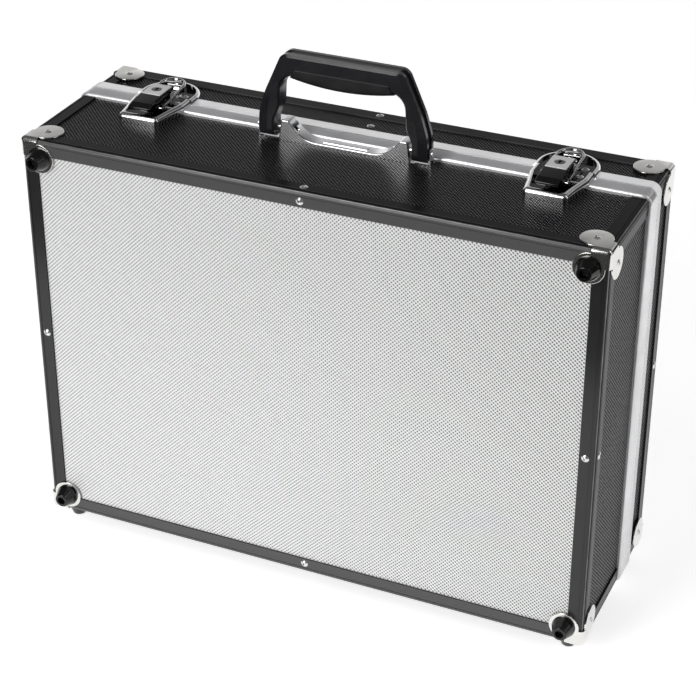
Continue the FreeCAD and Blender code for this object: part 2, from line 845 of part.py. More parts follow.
def handle_grip():
    """Bow of the handle: bevelled legs and grip, with a groove along its outer side."""
    half = handle_thickness / 2
    full = bow_line(handle_outer(), handle_inner())
    face = bow_line(handle_face_outer(), handle_inner(bevel_inner_width))
    bow = prism(full, plane_xz(handle_y - half + bevel_depth), V(0, handle_thickness - 2 * bevel_depth, 0))
    for side in (-1, 1):
        rim = outline(full, plane_xz(handle_y + side * (half - bevel_depth))).OuterWire
        flat = outline(face, plane_xz(handle_y + side * half)).OuterWire
        bow = bow.fuse(Part.makeLoft([rim, flat], True, True))
    bow = bow.removeSplitter()
    floor_line = handle_outer(handle_groove_depth)
    core_line = shifted(floor_line, 1) + shifted(floor_line, -1)[::-1]
    core_line[0] = (core_line[0][0], top - 5)
    core_line[-1] = (core_line[-1][0], top - 5)
    core = prism(core_line, plane_xz(handle_y - handle_thickness), V(0, 2 * handle_thickness, 0))
    band_half = handle_groove_width / 2
    band = box(-through, through, handle_y - band_half, handle_y + band_half,
               top - 5, top + handle_height + 5)
    bow = bow.cut(band.cut(core))
    axis_z = top + pivot_height
    keep_above = box(-through, through, handle_y - handle_thickness, handle_y + handle_thickness,
                     axis_z, axis_z + handle_height)
    ends = rod(V(-through, handle_y, axis_z), V(through, handle_y, axis_z), half)
    bow = bow.common(keep_above.fuse(ends))
    return bow.cut(rod(V(-through, handle_y, axis_z), V(through, handle_y, axis_z),
                       pivot_pin_radius + pin_clearance))


def handle_pad(bow):
    """Soft pad under the grip, bellied downwards and a little proud of the grip's sides."""
    half = handle_thickness / 2 + pad_proud
    y = handle_y - half
    low = top + pad_end_height
    high = top + pad_top
    arc = Part.Arc(V(-pad_half_length, y, low), V(0, y, low - pad_sag), V(pad_half_length, y, low)).toShape()
    upper = [V(pad_half_length, y, low), V(pad_top_half_length, y, high),
             V(-pad_top_half_length, y, high), V(-pad_half_length, y, low)]
    sides = [Part.LineSegment(a, b).toShape() for a, b in zip(upper, upper[1:])]
    pad = Part.Face(Part.Wire([arc] + sides)).extrude(V(0, 2 * half, 0))
    belly_z = low - pad_sag / 2
    pad = round_edges(pad, pad_belly_radius, lambda edge: across_y(edge) and edge.BoundBox.ZMin < belly_z)
    return pad.cut(bow)


def saddle():
    """Chrome handle plate: a scooped saddle between the legs, with an ear outside each leg."""
    base = panel_top
    peak = top + saddle_height
    floor = top + saddle_floor_height
    right = [
        (saddle_foot_x, base),
        (saddle_top_x, peak, saddle_tip_radius),
        (saddle_shoulder_x, peak, saddle_shoulder_radius),
        (saddle_floor_x, floor, saddle_scoop_radius),
    ]
    left = [(-c[0],) + c[1:] for c in right[::-1]]
    body = prism(right + left, plane_xz(saddle_front_y), V(0, saddle_back_y - saddle_front_y, 0))
    body = round_edges(body, 0.8, lambda edge: across_y(edge) and edge.BoundBox.ZMin > base + 0.5)
    middle = (saddle_front_y + saddle_back_y) / 2
    bead = box(-bead_length / 2, bead_length / 2, middle - bead_width / 2, middle + bead_width / 2,
               floor - 0.5, floor + bead_height)
    bead = round_edges(bead, 0.7, lambda edge: at_z(edge, floor + bead_height))
    hollow = box(-saddle_shoulder_x, saddle_shoulder_x, saddle_front_y + saddle_wall,
                 saddle_back_y - saddle_wall, base - 1, floor - saddle_wall)
    body = body.fuse(bead).cut(hollow)
    ear_in = leg_outer_x + ear_gap
    ear_out = ear_in + ear_thickness
    low_y = handle_y - ear_width / 2
    plate = box(saddle_foot_x - ear_plate_overlap, ear_out, low_y, tray_frame_y - ear_plate_gap,
                base, base + ear_plate_thickness)
    ear = box(ear_in, ear_out, low_y, low_y + ear_width, base, top + ear_crown)
    body = body.fuse([plate, mirror_x(plate), ear, mirror_x(ear)])
    axis_z = top + pivot_height
    return body.cut(rod(V(-through, handle_y, axis_z), V(through, handle_y, axis_z), pivot_pin_radius))


def saddle_screw(radius, head_radius, head_height):
    """Screw from inside the case up into one end of the saddle, or the hole that it needs."""
    x = saddle_foot_x - saddle_screw_inset
    y = (saddle_front_y + saddle_back_y) / 2
    low = top - wall_inner
    shank = rod(V(x, y, low), V(x, y, top + saddle_screw_reach), radius)
    return shank.fuse(rod(V(x, y, low - head_height), V(x, y, low), head_radius))


def pivot_pin():
    """Handle pivot pin from the ear, through the leg, into the saddle's end."""
    z = top + pivot_height
    ear_out = leg_outer_x + ear_gap + ear_thickness
    shank = rod(V(saddle_foot_x - pivot_pin_bite, handle_y, z), V(ear_out, handle_y, z), pivot_pin_radius)
    head = rod(V(ear_out, handle_y, z), V(ear_out + pivot_pin_head, handle_y, z), pivot_pin_radius + 1)
    return shank.fuse(head)


# Latches: modelled about x = 0, then moved to each side

def latch_place(shape, sign):
    """A latch piece moved to the left (-1) or right (1) latch."""
    moved = shape.copy()
    moved.translate(V(sign * latch_offset_x, 0, 0))
    return moved


def latch_outline(inset, back=tray_edge_y):
    """Plan of the latch's base: a narrow nose in front that widens to the split."""
    nose = latch_nose_half_width - inset
    middle = latch_neck_half_width - inset
    wide = latch_body_half_width - inset
    front = latch_front_y + inset
    y1 = latch_front_y + latch_taper_start
    y2 = latch_front_y + latch_taper_end
    corner = latch_nose_radius - inset / 4
    neck = latch_neck_radius
    shoulder = latch_shoulder_radius
    right = [(nose, front, corner), (middle, y1, neck), (wide, y2, shoulder), (wide, back)]
    return right + [(-c[0],) + c[1:] for c in right[::-1]]


def latch_rivet_places(sign):
    """Rivets that hold the latch's base: two on the frame and two under the lever's tip."""
    x = sign * latch_offset_x
    on_frame = latch_floor_thickness + frame_proud + wall_inner + frame_inner_flange
    on_panel = latch_floor_thickness + panel_thickness
    frame_z = frame_top + latch_floor_thickness
    panel_z = panel_top + latch_floor_thickness
    places = []
    for side in (-1, 1):
        frame_x = x + side * latch_rivet_across
        nose_x = x + side * nose_rivet_across
        places.append((V(frame_x, tray_edge_y - latch_rivet_setback, frame_z), V(0, 0, 1), on_frame))
        places.append((V(nose_x, latch_front_y + nose_rivet_inset, panel_z), V(0, 0, 1), on_panel))
    return places


def strike_rivet_places(sign):
    """Rivets that hold the strike to the lid."""
    x = sign * latch_offset_x
    on_frame = latch_floor_thickness + frame_proud + wall_inner + frame_inner_flange
    z = frame_top + latch_floor_thickness
    y = lid_edge_y + strike_rivet_setback
    return [(V(x + side * latch_rivet_across, y, z), V(0, 0, 1), on_frame) for side in (-1, 1)]


def latch_base():
    """Base of the latch: a shallow pan on the tray with two lugs for the lever's pin."""
    rise = top + latch_wall_height
    pan = prism(latch_outline(0), plane_xy(panel_top), V(0, 0, rise - panel_top))
    rim = [edge for edge in pan.Edges if at_z(edge, rise) and edge.BoundBox.YMin < tray_edge_y - 1]
    pan = pan.makeFillet(latch_rim_round, rim)
    back = tray_edge_y + 1
    step_y = tray_frame_y - 0.1
    under = box(-through, through, step_y, back, panel_top - 1, frame_top)
    low_floor = panel_top + latch_floor_thickness
    high_floor = frame_top + latch_floor_thickness
    pocket_low = prism(latch_outline(latch_rim_width), plane_xy(low_floor), V(0, 0, rise))
    keep_low = box(-through, through, latch_front_y, step_y - latch_floor_thickness, low_floor, rise + 20)
    pocket_high = prism(latch_outline(latch_rim_width, back), plane_xy(high_floor), V(0, 0, rise))
    pan = pan.cut([under, pocket_low.common(keep_low), pocket_high])
    lug_in = lever_half_width + lug_gap
    lug = box(lug_in, lug_in + lug_thickness, lever_pivot_y - lug_half_width, lever_pivot_y + lug_half_width,
              high_floor - 0.5, top + lever_pivot_up)
    lug = lug.fuse(rod(V(lug_in, lever_pivot_y, top + lever_pivot_up),
                       V(lug_in + lug_thickness, lever_pivot_y, top + lever_pivot_up), lug_half_width))
    pan = pan.fuse([lug, mirror_x(lug)])
    axis_z = top + lever_pivot_up
    bore = rod(V(-through, lever_pivot_y, axis_z), V(through, lever_pivot_y, axis_z), lever_pin_radius)
    return pan.cut(bore)


def lever_pin():
    """Pin that the lever turns on, riveted flush in the lugs."""
    reach = lever_half_width + lug_gap + lug_thickness
    z = top + lever_pivot_up
    return rod(V(-reach, lever_pivot_y, z), V(reach, lever_pivot_y, z), lever_pin_radius)


def lock_y():
    """Middle of the key plate."""
    return lever_top_y + key_plate_margin + key_plate_length / 2


def lock_bore():
    """Bore for the lock plug, through the lever and its key plate."""
    return Part.makeCylinder(lock_radius + lock_clearance, 30, V(0, lock_y(), top + 1))


def lever_top_line():
    """Upper line of the lever's side view, from its lifting tip to its rear end: (y, up)."""
    rear = lever_pivot_y + lever_rear_overhang
    return [
        (lever_tip_y, lever_tip_up),
        (lever_bevel_y, lever_bevel_up),
        (lever_top_y, lever_top_up),
        (rear, lever_top_up),
    ]


def lever():
    """Lever: a bevelled cover plate over a narrower body with a boss for the bail's pin."""
    rear = lever_pivot_y + lever_rear_overhang
    pin_up = lever_pivot_up
    boss_up = bail_pivot_up - 2.2
    seat_end = bail_pivot_y + bail_seat_half_width
    under_up = lever_top_up - lever_cover_thickness / 2
    line = lever_top_line()
    radii = (1.0, 4.0, 8.0, 1.2)
    upper = [(y, top + up, radius) for (y, up), radius in zip(line, radii)]
    lower = [(y, top + up - lever_cover_thickness, radius) for (y, up), radius in zip(line, radii)]
    half = lever_cover_half_width
    cover = prism(upper + lower[::-1], plane_yz(-half), V(2 * half, 0, 0))
    cover = round_edges(cover, lever_side_round, lambda edge: edge.BoundBox.XLength < 1e-4)
    side = [
        (rear, under_up),
        (rear, pin_up - 2.4, 1.5),
        (seat_end + lever_seat_slope, pin_up - 3.6, 1.0),
        (seat_end, boss_up, 1.0),
        (bail_pivot_y - bail_seat_half_width, boss_up, 2.0),
        (bail_pivot_y - bail_seat_half_width - 2.2, lever_bevel_up - lever_cover_thickness / 2),
        (lever_top_y, under_up),
    ]
    corners = [(c[0], top + c[1]) + c[2:] for c in side]
    body = prism(corners, plane_yz(-lever_half_width), V(2 * lever_half_width, 0, 0))
    pivot_z = top + pin_up
    bail_z = top + bail_pivot_up
    pivot_bore = rod(V(-through, lever_pivot_y, pivot_z), V(through, lever_pivot_y, pivot_z),
                     lever_pin_radius + pin_clearance)
    bail_bore = rod(V(-through, bail_pivot_y, bail_z), V(through, bail_pivot_y, bail_z), bail_pin_radius)
    return body.fuse(cover).cut([lock_bore(), pivot_bore, bail_bore])


def key_plate():
    """Plate round the lock, on top of the lever."""
    half = lever_cover_half_width - key_plate_margin
    front = lever_top_y + key_plate_margin
    low = top + lever_top_up
    high = low + key_plate_rim
    plate = box(-half, half, front, front + key_plate_length, low, high)
    plate = plate.makeChamfer(key_plate_rim / 2, [edge for edge in plate.Edges if at_z(edge, high)])
    return plate.cut(lock_bore())


def lock_plug():
    """Key plug of the lock, with its keyway above and its cam below the lever."""
    y = lock_y()
    low = top + lever_pivot_up - 3.6 - cam_drop
    high = top + lever_top_up + key_plate_rim
    floor = high - keyway_depth
    plug = Part.makeCylinder(lock_radius, high - low, V(0, y, low))
    plug = round_edges(plug, 0.5, lambda edge: at_z(edge, high))
    keyway = box(-keyway_width / 2, keyway_width / 2, y - keyway_length / 2, y + keyway_length / 2,
                 floor, high + 1)
    eye = Part.makeCylinder(keyway_width, keyway_depth + 1, V(0, y + 0.8, floor))
    cam = box(-cam_length / 2, cam_length / 2, y - cam_width / 2, y + cam_width / 2,
              low - cam_thickness, low)
    return plug.fuse(cam).cut([keyway, eye])


def bail():
    """Stirrup that reaches over the strike: two arms, an arch behind, and an eye at each front end."""
    inner = bail_inner_half_width
    outer = inner + bail_strap
    reach = bail_reach
    z = -bail_depth / 2
    shape = Part.makeBox(2 * outer, reach - outer, bail_depth, V(-outer, 0, z))
    shape = shape.fuse(Part.makeCylinder(outer, bail_depth, V(0, reach - outer, z)))
    hole = Part.makeBox(2 * inner, reach - outer + 5, bail_depth + 2, V(-inner, -5, z - 1))
    hole = hole.fuse(Part.makeCylinder(inner, bail_depth + 2, V(0, reach - outer, z - 1)))
    shape = shape.cut(hole)
    long_edges = [edge for edge in shape.Edges if on_bail_face(edge, z)]
    shape = shape.makeFillet(bail_round, long_edges)
    for side in (-1, 1):
        eye = rod(V(side * inner, 0, 0), V(side * outer, 0, 0), bail_eye_radius)
        shape = shape.fuse(eye)
    shape = shape.cut(rod(V(-through, 0, 0), V(through, 0, 0), bail_pin_radius + pin_clearance))
    shape.rotate(V(0, 0, 0), V(1, 0, 0), bail_rise)
    shape.translate(V(0, bail_pivot_y, top + bail_pivot_up))
    return shape


def on_bail_face(edge, z):
    """Whether an edge runs along the bail's upper or lower face, away from its open ends."""
    bounds = edge.BoundBox
    on_face = bounds.ZLength < 1e-4 and abs(abs(bounds.ZMin) - abs(z)) < 1e-4
    return on_face and bounds.YMax > 1.0


def bail_pin():
    """Pin across the lever that the bail's eyes turn on."""
    reach = bail_inner_half_width + bail_strap + 0.2
    z = top + bail_pivot_up
    return rod(V(-reach, bail_pivot_y, z), V(reach, bail_pivot_y, z), bail_pin_radius)


def arch_inside_y():
    """Where the inside of the bail's arch lies, in plan."""
    return bail_pivot_y + (bail_reach - bail_strap) * math.cos(math.radians(bail_rise))


def arch_corner_y():
    """Where the hook's side faces pass under the inside of the arch."""
    centre = bail_reach - bail_strap - bail_inner_half_width
    along = centre + math.sqrt(bail_inner_half_width ** 2 - hook_half_width ** 2)
    return bail_pivot_y + along * math.cos(math.radians(bail_rise))


def arch_underside(y):
    """Height of the bail's underside above the case's top face at a given y."""
    angle = math.radians(bail_rise)
    return bail_pivot_up + (y - bail_pivot_y) * math.tan(angle) - bail_depth / 2 / math.cos(angle)


def strike():
    """Strike on the lid: a half-round pan with an upright hook in its middle."""
    front = lid_edge_y
    centre = split_y + strike_arc_centre
    rise = top + strike_wall_height
    step_y = lid_frame_y + 0.1

    def pan_block(radius, z0, z1, open_front):
        low_y = front - (5 if open_front else 0)
        block = box(-radius, radius, low_y, centre, z0, z1)
        return block.fuse(Part.makeCylinder(radius, z1 - z0, V(0, centre, z0)).cut(
            box(-through, through, -through, centre - 1e-3, z0 - 1, z1 + 1)))

    pan = pan_block(strike_radius, panel_top, rise, False).removeSplitter()
    rim = [edge for edge in pan.Edges if at_z(edge, rise) and edge.BoundBox.YMax > front + 1]
    pan = pan.makeFillet(strike_rim_round, rim)
    high_floor = frame_top + latch_floor_thickness
    low_floor = panel_top + latch_floor_thickness
    inner = strike_radius - strike_rim_round - latch_rim_flat
    pocket_high = pan_block(inner, high_floor, rise + 5, True)
    pocket_low = pan_block(inner, low_floor, rise + 5, True).common(
        box(-through, through, step_y + latch_floor_thickness, through, low_floor, rise + 5))
    under = box(-through, through, front - 1, step_y, panel_top - 1, frame_top)
    pan = pan.cut([under, pocket_high, pocket_low])
    hook_back = arch_inside_y() - hook_back_gap
    hook_front = hook_back - hook_thickness
    hook_top = top + arch_underside(arch_corner_y()) - hook_clearance
    hook = box(-hook_half_width, hook_half_width, hook_front, hook_back, low_floor - 0.5, hook_top)
    hook = hook.makeFillet(0.8, [edge for edge in hook.Edges if at_z(edge, hook_top)])
    slot_half = hook_half_width - 1.5 * hook_wall
    slot = box(-slot_half, slot_half, hook_front - 1, hook_back - hook_wall,
               high_floor + 0.8, hook_top - hook_wall)
    return pan.fuse(hook.cut(slot))


# Assembly: every node's solids, in the frame that the case is modelled in

def build():
    """All nodes as lists of solids."""
    nodes = {}
    block = case_block()
    skin = profile_skin(block)

    nodes["tray_front_panel"] = [drilled_tray(front_panel())]
    nodes["lid_back_panel"] = [drilled_lid(mirror_y(front_panel()))]
    screw = saddle_screw(screw_shank_radius, screw_head_radius, screw_head_height)
    screws = [screw, mirror_x(screw)]
    screw_room = saddle_screw(screw_shank_radius, screw_nut_radius, lining_thickness + 1)
    screw_rooms = [screw_room, mirror_x(screw_room)]
    latch_holes = latch_rivet_places(-1) + latch_rivet_places(1)
    strike_holes = strike_rivet_places(-1) + strike_rivet_places(1)
    tray_hinge_holes = hinge_rivet_places(-1)
    lid_hinge_holes = hinge_rivet_places(1)
    for name, shape in tray_walls().items():
        shape = drilled(drilled_tray(shape), latch_holes + tray_hinge_holes)
        nodes["tray_" + name] = [shape]
    for name, shape in lid_walls().items():
        shape = drilled(drilled_lid(shape), strike_holes + lid_hinge_holes)
        nodes["lid_" + name] = [shape]

    nodes["tray_wall_top"][0] = nodes["tray_wall_top"][0].cut(screws)

    profiles = edge_profiles(skin)
    for name in ("edge_top", "edge_hinge_side", "edge_right", "edge_left"):
        nodes["tray_" + name] = [drilled_tray(profiles[name])]
        nodes["lid_" + name] = [drilled_lid(mirror_y(profiles[name]))]
    nodes["tray_corner_profiles"] = four_corners(profiles["corner"])
    lid_corner = profiles["corner"].common(box(0, half_width, 0, case_depth - lid_frame_y, 0, case_height))
    nodes["lid_corner_profiles"] = [mirror_y(shape) for shape in four_corners(lid_corner)]

    nodes["tray_frame"] = [drilled(tray_frame(), latch_holes + tray_hinge_holes)]
    nodes["lid_frame"] = [drilled(lid_frame(), strike_holes + lid_hinge_holes)]
    nodes["tray_lining"] = [tray_lining().cut(screw_rooms)]
    nodes["lid_lining"] = [lid_lining()]

    cap = corner_cap(block)
    caps = four_corners(cap)
    nodes["tray_corner_caps"] = [drilled_tray(shape) for shape in caps]
    nodes["lid_corner_caps"] = [drilled_lid(mirror_y(shape)) for shape in caps]
    nodes["tray_rivets"] = [rivet(place) for place in tray_rivet_places]
    nodes["lid_rivets"] = [rivet(place) for place in lid_rivet_places]
    nodes["tray_front_feet"] = [foot(place) for place in tray_foot_places]
    nodes["tray_standing_feet"] = [foot(place) for place in tray_stand_places]
    nodes["lid_standing_feet"] = [foot(place) for place in lid_stand_places]
    nodes["tray_foot_screws"] = [foot_screw(place) for place in tray_foot_places + tray_stand_places]
    nodes["lid_foot_screws"] = [foot_screw(place) for place in lid_stand_places]

    tray_leaf = drilled(hinge_leaf(-1, True), tray_hinge_holes)
    lid_leaf = drilled(hinge_leaf(1, False), lid_hinge_holes)
    pin = hinge_pin()
    nodes["hinge_leaves_tray"] = [tray_leaf, mirror_x(tray_leaf)]
    nodes["hinge_leaves_lid"] = [lid_leaf, mirror_x(lid_leaf)]
    nodes["hinge_pins"] = [pin, mirror_x(pin)]
    nodes["hinge_rivets_tray"] = [rivet(place) for place in tray_hinge_holes]
    nodes["hinge_rivets_lid"] = [rivet(place) for place in lid_hinge_holes]

    bow = handle_grip()
    nodes["handle_grip"] = [bow]
    nodes["handle_pad"] = [handle_pad(bow)]
    nodes["handle_saddle"] = [saddle().cut(screws)]
    nodes["saddle_screws"] = screws
    nodes["handle_pins"] = [pivot_pin(), mirror_x(pivot_pin())]

    base = latch_base()
    for side, sign in (("left", -1), ("right", 1)):
        nodes["latch_base_" + side] = [drilled(latch_place(base, sign), latch_rivet_places(sign))]
        nodes["latch_lever_" + side] = [latch_place(lever(), sign)]
        nodes["latch_bail_" + side] = [latch_place(bail(), sign)]
        nodes["latch_bail_pin_" + side] = [latch_place(bail_pin(), sign)]
        nodes["key_plate_" + side] = [latch_place(key_plate(), sign)]
        nodes["lock_plug_" + side] = [latch_place(lock_plug(), sign)]
        nodes["latch_strike_" + side] = [drilled(latch_place(strike(), sign), strike_rivet_places(sign))]
    nodes["latch_lever_pins"] = [latch_place(lever_pin(), -1), latch_place(lever_pin(), 1)]
    nodes["latch_rivets"] = [rivet(place) for place in latch_holes]
    nodes["strike_rivets"] = [rivet(place) for place in strike_holes]
    return nodes


def main():
    """Move every node to the final frame and write it out."""
    os.makedirs("parts", exist_ok=True)
    for name, solids in build().items():
        pieces = []
        for shape in solids:
            for solid in shape.Solids:
                moved = solid.copy()
                moved.translate(V(0, -middle_y, stand_height))
                pieces.append(moved)
        result = pieces[0] if len(pieces) == 1 else Part.makeCompound(pieces)
        result.exportStep("parts/" + name + ".step")
        wanted = len(solids)
        note = "" if len(pieces) == wanted else f"  EXPECTED {wanted}"
        print(f"{name}: {len(pieces)} solids, volume {result.Volume:.0f}, valid {result.isValid()}{note}")
    print("pivots:", "lid y", split_y - middle_y, "z", hinge_axis_z + stand_height)


main()
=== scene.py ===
"""Dressed model of an aluminium tool case that stands on its hinge side."""

import json
import logging
import math
from dataclasses import dataclass
from enum import Enum
from typing import Iterable, Optional, Sequence

import bmesh
import bpy
from mathutils import Matrix, Vector


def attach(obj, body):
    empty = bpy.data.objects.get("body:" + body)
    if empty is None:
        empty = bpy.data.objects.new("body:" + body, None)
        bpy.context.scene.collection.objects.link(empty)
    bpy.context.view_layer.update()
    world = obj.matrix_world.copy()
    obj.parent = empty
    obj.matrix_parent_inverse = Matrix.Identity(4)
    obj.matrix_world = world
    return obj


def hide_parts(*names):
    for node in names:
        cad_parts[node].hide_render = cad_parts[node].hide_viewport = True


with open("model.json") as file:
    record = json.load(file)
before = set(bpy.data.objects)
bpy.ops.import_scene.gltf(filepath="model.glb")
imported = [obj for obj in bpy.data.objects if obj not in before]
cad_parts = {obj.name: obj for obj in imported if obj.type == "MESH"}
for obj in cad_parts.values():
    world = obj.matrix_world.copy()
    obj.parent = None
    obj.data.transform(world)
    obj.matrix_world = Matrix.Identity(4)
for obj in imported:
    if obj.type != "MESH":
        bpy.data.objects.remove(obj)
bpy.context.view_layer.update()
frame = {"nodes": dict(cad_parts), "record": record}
LOG = logging.getLogger("tool_case")

MM = 0.001
Colour = tuple[float, float, float]


class Face(Enum):
    """The two object axes that a flat pattern lies along."""

    FRONT = ("X", "Z")
    TOP = ("X", "Y")
    SIDE = ("Y", "Z")


class Grain(Enum):
    """The axis that the drawing lines of a metal run along."""

    ALONG_X = (0.02, 1.0, 1.0)
    ALONG_Y = (1.0, 0.02, 1.0)
    ALONG_Z = (1.0, 1.0, 0.02)
    NONE = (1.0, 1.0, 1.0)


class NodeSketch:
    """A material's node tree, with short calls for the nodes that the finishes share."""

    def __init__(self, name: str) -> None:
        """Start an empty material with a Principled shader.

        Args:
            name: The material's name.
        """
        self.material = bpy.data.materials.new(name)
        self.material.use_nodes = True
        self.tree = self.material.node_tree
        self.tree.nodes.clear()
        self.shader = self.tree.nodes.new("ShaderNodeBsdfPrincipled")
        output = self.tree.nodes.new("ShaderNodeOutputMaterial")
        self.link(self.shader.outputs["BSDF"], output.inputs["Surface"])
        where = self.tree.nodes.new("ShaderNodeTexCoord")
        self.coordinates = where.outputs["Object"]
        self.normals = where.outputs["Normal"]

    def link(self, source: bpy.types.NodeSocket, target: bpy.types.NodeSocket) -> None:
        """Join two sockets."""
        self.tree.links.new(source, target)

    def set(self, **values: float) -> None:
        """Set constants on the shader's own sockets.

        Args:
            values: Socket names with underscores for spaces, and their values.
        """
        for name, value in values.items():
            self.shader.inputs[name.replace("_", " ")].default_value = value

    def math(self, operation: str, first: object, second: object = None) -> bpy.types.NodeSocket:
        """Add a Math node.

        Args:
            operation: The node's operation.
            first: A socket or a number.
            second: A socket, a number or nothing.

        Returns:
            The node's output.
        """
        node = self.tree.nodes.new("ShaderNodeMath")
        node.operation = operation
        for socket, value in zip(node.inputs, (first, second)):
            if isinstance(value, bpy.types.NodeSocket):
                self.link(value, socket)
            elif value is not None:
                socket.default_value = value
        return node.outputs[0]

    def stretched(self, grain: Grain) -> bpy.types.NodeSocket:
        """Object coordinates drawn out along a grain."""
        node = self.tree.nodes.new("ShaderNodeMapping")
        node.inputs["Scale"].default_value = grain.value
        self.link(self.coordinates, node.inputs["Vector"])
        return node.outputs["Vector"]

    def noise(self, scale: float, detail: float = 2.0, grain: Grain = Grain.NONE) -> bpy.types.NodeSocket:
        """Add a noise texture.

        Args:
            scale: Features per metre.
            detail: How many finer layers it has.
            grain: The direction that it is drawn out along.

        Returns:
            The noise as a value around a half.
        """
        node = self.tree.nodes.new("ShaderNodeTexNoise")
        node.inputs["Scale"].default_value = scale
        node.inputs["Detail"].default_value = detail
        self.link(self.stretched(grain), node.inputs["Vector"])
        return node.outputs["Fac"]

    def ramp(self, value: bpy.types.NodeSocket, stops: Sequence[tuple[float, Colour]]) -> bpy.types.NodeSocket:
        """Turn a value into a colour.

        Args:
            value: The socket that is read.
            stops: Pairs of position and colour.

        Returns:
            The colour.
        """
        node = self.tree.nodes.new("ShaderNodeValToRGB")
        elements = node.color_ramp.elements
        while len(elements) < len(stops):
            elements.new(0.5)
        for element, (place, colour) in zip(elements, stops):
            element.position = place
            element.color = (*colour, 1.0)
        self.link(value, node.inputs["Fac"])
        return node.outputs["Color"]

    def spread(self, value: bpy.types.NodeSocket, low: float, high: float) -> bpy.types.NodeSocket:
        """Map a value from 0..1 to a range."""
        node = self.tree.nodes.new("ShaderNodeMapRange")
        node.inputs["To Min"].default_value = low
        node.inputs["To Max"].default_value = high
        self.link(value, node.inputs["Value"])
        return node.outputs["Result"]

    def clamped(self, value: bpy.types.NodeSocket, start: float, end: float, high: float) -> bpy.types.NodeSocket:
        """Map a range of a value to 0..high, held at both ends.

        Args:
            value: The socket that is read.
            start: The value that gives zero.
            end: The value that gives the high end.
            high: The high end.

        Returns:
            The mapped value.
        """
        node = self.tree.nodes.new("ShaderNodeMapRange")
        node.inputs["From Min"].default_value = start
        node.inputs["From Max"].default_value = end
        node.inputs["To Max"].default_value = high
        self.link(value, node.inputs["Value"])
        return node.outputs["Result"]

    def mixed(self, share: bpy.types.NodeSocket, first: bpy.types.NodeSocket, second: Colour) -> bpy.types.NodeSocket:
        """Blend a colour socket with a plain colour.

        Args:
            share: How much of the second colour shows.
            first: The first colour.
            second: The second colour.

        Returns:
            The blended colour.
        """
        node = self.tree.nodes.new("ShaderNodeMix")
        node.data_type = "RGBA"
        factor, start, end = node.inputs[0], node.inputs[6], node.inputs[7]
        end.default_value = (*second, 1.0)
        self.link(share, factor)
        self.link(first, start)
        return node.outputs[2]

    def bump(self, height: bpy.types.NodeSocket, distance: float, strength: float = 1.0,
             after: Optional[bpy.types.NodeSocket] = None) -> bpy.types.NodeSocket:
        """Raise the surface by a height.

        Args:
            height: The height as a value.
            distance: Metres for a height of one.
            strength: How much of the effect is used.
            after: A normal that this one is added to.

        Returns:
            The new normal.
        """
        node = self.tree.nodes.new("ShaderNodeBump")
        node.inputs["Distance"].default_value = distance
        node.inputs["Strength"].default_value = strength
        self.link(height, node.inputs["Height"])
        if after is not None:
            self.link(after, node.inputs["Normal"])
        return node.outputs["Normal"]

    def paint(self, colour: bpy.types.NodeSocket, roughness: bpy.types.NodeSocket,
              normal: Optional[bpy.types.NodeSocket] = None) -> bpy.types.Material:
        """Join colour, roughness and normal to the shader.

        Args:
            colour: Base colour.
            roughness: Roughness.
            normal: Normal, if the surface has relief.

        Returns:
            The finished material.
        """
        self.link(colour, self.shader.inputs["Base Color"])
        self.link(roughness, self.shader.inputs["Roughness"])
        if normal is not None:
            self.link(normal, self.shader.inputs["Normal"])
        return self.material


@dataclass(frozen=True)
class EmbossedSheet:
    """Sheet rolled with a fine diamond pattern: two families of lines and dots where they cross, with painted shade in
    the valleys and a partly painted highlight on the ridges.
    """

    name: str
    ridge_tone_and_painted_highlight: Colour
    valley_painted_shade: Colour
    metallic: float
    roughness: float
    face: Face
    rising: float
    falling: float
    dots: float
    specular: float = 0.5
    low_stop: float = 0.22
    high_stop: float = 0.80
    # Painted light: how fast the falling lines deepen towards +X.
    falling_painted_light_growth: float = 0.0
    relief: float = 0.00012
    repeat: float = 3.12 * MM

    def make(self) -> bpy.types.Material:
        """Build the material.

        Returns:
            The material.
        """
        sketch = NodeSketch(f"{self.name}_{self.face.name.lower()}")
        split = sketch.tree.nodes.new("ShaderNodeSeparateXYZ")
        sketch.link(sketch.coordinates, split.inputs[0])
        across = split.outputs[self.face.value[0]]
        up = split.outputs[self.face.value[1]]
        turn = 2.0 * math.pi / self.repeat
        rising = sketch.math("COSINE", sketch.math("MULTIPLY", sketch.math("SUBTRACT", across, up), turn))
        falling = sketch.math("COSINE", sketch.math("MULTIPLY", sketch.math("ADD", across, up), turn))
        # the falling lines deepen towards +X in relief and in colour; in colour this is painted light, for how the
        # light catches them across the panel
        growth = sketch.math("MULTIPLY", across, self.falling_painted_light_growth)
        depth = sketch.math("MAXIMUM", sketch.math("ADD", growth, self.falling), 0.02)
        both = sketch.math("ADD", sketch.math("MULTIPLY", rising, self.rising),
                           sketch.math("MULTIPLY", falling, depth))
        crossings = sketch.math("MULTIPLY", sketch.math("MULTIPLY", rising, falling), self.dots)
        height = sketch.math("ADD", sketch.math("ADD", both, crossings), 0.5)
        wear_and_edge_highlight = sketch.noise(420.0, 2.0)
        toned = sketch.math("ADD", sketch.math("MULTIPLY", height, 0.86), sketch.math("MULTIPLY", wear_and_edge_highlight, 0.14))
        # painted shade and highlight: the colour runs from near black in the pattern's valleys to light on its ridges
        colour = sketch.ramp(toned, [(self.low_stop, self.valley_painted_shade), (self.high_stop, self.ridge_tone_and_painted_highlight)])
        cloud = sketch.noise(9.0, 3.0)
        roughness = sketch.spread(cloud, self.roughness - 0.06, self.roughness + 0.06)
        normal = sketch.bump(height, self.relief)
        shine = sketch.clamped(toned, self.low_stop, self.high_stop, self.specular)
        sketch.link(shine, sketch.shader.inputs["Specular IOR Level"])
        sketch.set(Metallic=self.metallic)
        return sketch.paint(colour, roughness, normal)


